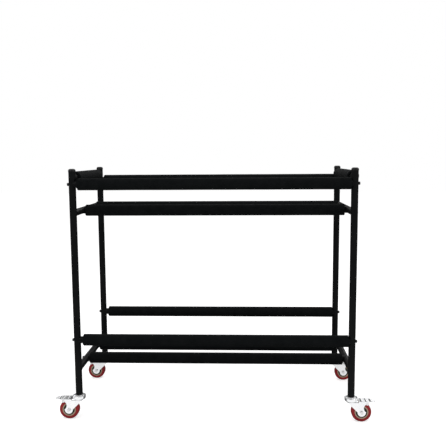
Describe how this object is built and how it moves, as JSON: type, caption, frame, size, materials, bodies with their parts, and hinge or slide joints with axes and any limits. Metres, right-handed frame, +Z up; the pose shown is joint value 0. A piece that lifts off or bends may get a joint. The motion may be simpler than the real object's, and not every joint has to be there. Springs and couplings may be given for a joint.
{
  "type": "snare drum storage rack",
  "caption": "Two-tier rolling rack for storing snare drums on edge, with foam-sleeved rails in a black tube frame and braked swivel casters.",
  "frame": {"origin": "On the floor plane, midway between the four posts and between the casters' outer ends.", "axes": "+X runs along the rails to the right as seen from the front, +Y points to the back, +Z is up."},
  "size_m": [1.034, 0.401, 0.8121],
  "materials": {
    "powder_coat": "satin black powder coat on steel tube, with a fine orange-peel texture",
    "foam": "matte black closed-cell foam with a fine skin",
    "black_plastic": "moulded black polyethylene, satin",
    "black_steel": "black oxide cap screws",
    "zinc_steel": "bright zinc plate",
    "ball_steel": "polished ball steel",
    "chrome_plate": "bright chrome plate on pressed steel",
    "core_nylon": "tan moulded nylon, satin",
    "guard_plastic": "dark moulded plastic disc",
    "red_tread": "red cast polyurethane, satin, with faint slanting mould marks"
  },
  "bodies": {
    "frame": {"front_left_post": "powder_coat", "front_right_post": "powder_coat", "rear_left_post": "powder_coat", "rear_right_post": "powder_coat", "left_top_bar": "powder_coat", "left_upper_bar": "powder_coat", "left_lower_bar": "powder_coat", "right_top_bar": "powder_coat", "right_upper_bar": "powder_coat", "right_lower_bar": "powder_coat", "upper_front_guard_rail": "powder_coat", "upper_rear_guard_rail": "powder_coat", "upper_front_rest_rail": "powder_coat", "upper_rear_rest_rail": "powder_coat", "lower_front_guard_rail": "powder_coat", "lower_rear_guard_rail": "powder_coat", "lower_front_rest_rail": "powder_coat", "lower_rear_rest_rail": "powder_coat", "upper_front_guard_foam": "foam", "upper_rear_guard_foam": "foam", "upper_front_rest_foam": "foam", "upper_rear_rest_foam": "foam", "lower_front_guard_foam": "foam", "lower_rear_guard_foam": "foam", "lower_front_rest_foam": "foam", "lower_rear_rest_foam": "foam", "left_top_foam": "foam", "right_top_foam": "foam", "post_caps": "black_plastic", "rail_bolts": "black_steel", "rail_inserts": "black_plastic", "leg_inserts": "zinc_steel", "caster_stems": "zinc_steel", "swivel_balls": "ball_steel"},
    "front_left_swivel": {"front_left_fork": "chrome_plate", "front_left_axle": "zinc_steel"},
    "front_left_wheel": {"front_left_wheel_core": "core_nylon", "front_left_thread_guards": "guard_plastic", "front_left_tread": "red_tread"},
    "front_left_brake": {"front_left_pedal": "chrome_plate"},
    "front_right_swivel": {"front_right_fork": "chrome_plate", "front_right_axle": "zinc_steel"},
    "front_right_wheel": {"front_right_wheel_core": "core_nylon", "front_right_thread_guards": "guard_plastic", "front_right_tread": "red_tread"},
    "front_right_brake": {"front_right_pedal": "chrome_plate"},
    "rear_left_swivel": {"rear_left_fork": "chrome_plate", "rear_left_axle": "zinc_steel"},
    "rear_left_wheel": {"rear_left_wheel_core": "core_nylon", "rear_left_thread_guards": "guard_plastic", "rear_left_tread": "red_tread"},
    "rear_left_brake": {"rear_left_pedal": "chrome_plate"},
    "rear_right_swivel": {"rear_right_fork": "chrome_plate", "rear_right_axle": "zinc_steel"},
    "rear_right_wheel": {"rear_right_wheel_core": "core_nylon", "rear_right_thread_guards": "guard_plastic", "rear_right_tread": "red_tread"},
    "rear_right_brake": {"rear_right_pedal": "chrome_plate"}
  },
  "joints": [
    {"name": "front_left_swivel_turn", "type": "hinge", "parent": "frame", "child": "front_left_swivel", "pos_m": [-0.44, -0.18, 0.06675], "axis": [0, 0, 1], "continuous": true},
    {"name": "front_left_wheel_spin", "type": "hinge", "parent": "front_left_swivel", "child": "front_left_wheel", "pos_m": [-0.4725, -0.18, 0.03175], "axis": [0, 1, 0], "continuous": true},
    {"name": "front_left_pedal_press", "type": "hinge", "parent": "front_left_swivel", "child": "front_left_brake", "pos_m": [-0.48997, -0.18, 0.06202], "axis": [0, -1, 0], "range_deg": [0, 10]},
    {"name": "front_right_swivel_turn", "type": "hinge", "parent": "frame", "child": "front_right_swivel", "pos_m": [0.44, -0.18, 0.06675], "axis": [0, 0, 1], "continuous": true},
    {"name": "front_right_wheel_spin", "type": "hinge", "parent": "front_right_swivel", "child": "front_right_wheel", "pos_m": [0.4725, -0.18, 0.03175], "axis": [0, 1, 0], "continuous": true},
    {"name": "front_right_pedal_press", "type": "hinge", "parent": "front_right_swivel", "child": "front_right_brake", "pos_m": [0.48997, -0.18, 0.06202], "axis": [0, 1, 0], "range_deg": [0, 10]},
    {"name": "rear_left_swivel_turn", "type": "hinge", "parent": "frame", "child": "rear_left_swivel", "pos_m": [-0.44, 0.18, 0.06675], "axis": [0, 0, 1], "continuous": true},
    {"name": "rear_left_wheel_spin", "type": "hinge", "parent": "rear_left_swivel", "child": "rear_left_wheel", "pos_m": [-0.4725, 0.18, 0.03175], "axis": [0, 1, 0], "continuous": true},
    {"name": "rear_left_pedal_press", "type": "hinge", "parent": "rear_left_swivel", "child": "rear_left_brake", "pos_m": [-0.48997, 0.18, 0.06202], "axis": [0, -1, 0], "range_deg": [0, 10]},
    {"name": "rear_right_swivel_turn", "type": "hinge", "parent": "frame", "child": "rear_right_swivel", "pos_m": [0.44, 0.18, 0.06675], "axis": [0, 0, 1], "continuous": true},
    {"name": "rear_right_wheel_spin", "type": "hinge", "parent": "rear_right_swivel", "child": "rear_right_wheel", "pos_m": [0.4725, 0.18, 0.03175], "axis": [0, 1, 0], "continuous": true},
    {"name": "rear_right_pedal_press", "type": "hinge", "parent": "rear_right_swivel", "child": "rear_right_brake", "pos_m": [0.48997, 0.18, 0.06202], "axis": [0, 1, 0], "range_deg": [0, 10]}
  ]
}
